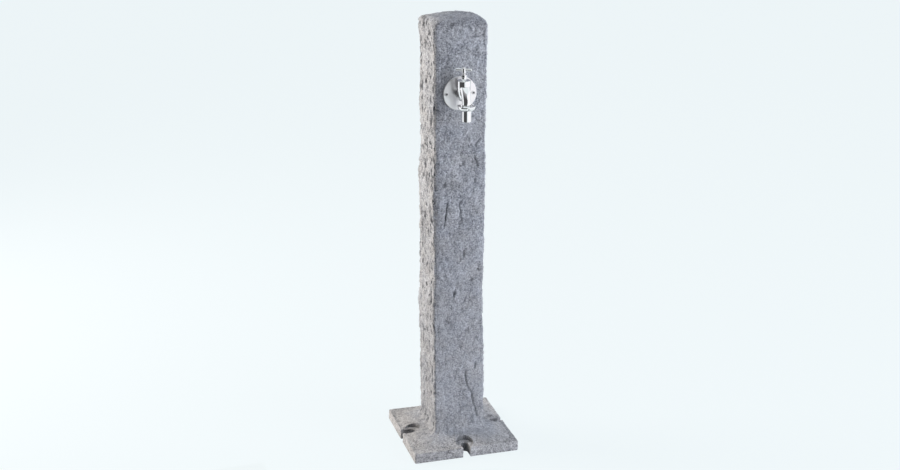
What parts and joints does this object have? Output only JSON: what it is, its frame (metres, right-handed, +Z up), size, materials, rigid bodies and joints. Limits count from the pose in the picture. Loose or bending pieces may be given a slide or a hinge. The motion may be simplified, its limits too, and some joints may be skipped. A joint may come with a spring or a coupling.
{
  "type": "garden standpipe",
  "caption": "Square stone-look pillar on a slotted foot plate, with a tee-handled garden tap on its front face, a hose nozzle on a screwed union ring and a supply inlet low on its back.",
  "frame": {"origin": "centre of the foot plate's underside, on the ground", "axes": "+Z up the pillar, -Y out of the face that carries the tap, +X to the right seen from the front"},
  "size_m": [0.244, 0.25, 0.996],
  "materials": {
    "stone": "stone-look mineral-filled resin, chipped and pitted",
    "chrome": "polished chrome plate",
    "satin_steel": "satin",
    "brass": "as machined",
    "rubber": "matt",
    "fibre": "matt fibre",
    "hose": "braided sleeve"
  },
  "bodies": {
    "pillar": {"stone_pillar": "stone", "tap_rosette": "satin_steel", "tap_rosette_screws": "chrome", "tap_wall_gasket": "rubber", "tap_wall_elbow": "brass", "tap_shank_washer": "fibre", "tap_body": "chrome", "bonnet_washer": "fibre", "tap_bonnet": "chrome", "gland_packing": "rubber", "gland_nut": "chrome", "upper_hose_washer": "fibre", "upper_hose_tail": "brass", "upper_hose_nut": "satin_steel", "upper_hose_ferrule": "satin_steel", "supply_hose": "hose", "lower_hose_washer": "fibre", "lower_hose_tail": "brass", "lower_hose_nut": "satin_steel", "lower_hose_ferrule": "satin_steel", "inlet_rosette": "satin_steel", "inlet_rosette_screws": "chrome", "inlet_wall_gasket": "rubber", "inlet_wall_elbow": "brass", "inlet_shank_washer": "fibre", "inlet_nipple": "brass"},
    "valve": {"valve_jumper": "brass", "valve_washer": "rubber", "valve_washer_nut": "brass"},
    "handle": {"valve_spindle": "satin_steel", "tee_handle": "chrome", "handle_screw": "chrome"},
    "nozzle": {"hose_nozzle": "chrome", "nozzle_washer": "rubber"},
    "ring": {"union_ring": "chrome"}
  },
  "joints": [
    {"name": "valve_lift", "type": "slide", "parent": "pillar", "child": "valve", "axis": [0, 0, 1], "range_m": [0, 0.004]},
    {"name": "handle_turn", "type": "hinge", "parent": "valve", "child": "handle", "pos_m": [0, -0.088, 0.88], "axis": [0, 0, 1], "range_deg": [0, 720]},
    {"name": "nozzle_drop", "type": "slide", "parent": "pillar", "child": "nozzle", "axis": [0, 0, -1], "range_m": [0, 0.00363]},
    {"name": "ring_turn", "type": "hinge", "parent": "nozzle", "child": "ring", "pos_m": [0, -0.109, 0.813], "axis": [0, 0, -1], "range_deg": [0, 720]}
  ],
  "couplings": [
    {"joint": "handle_turn", "follows": "valve_lift", "rad_per_m": 3141.6},
    {"joint": "ring_turn", "follows": "nozzle_drop", "rad_per_m": 3463.7}
  ]
}
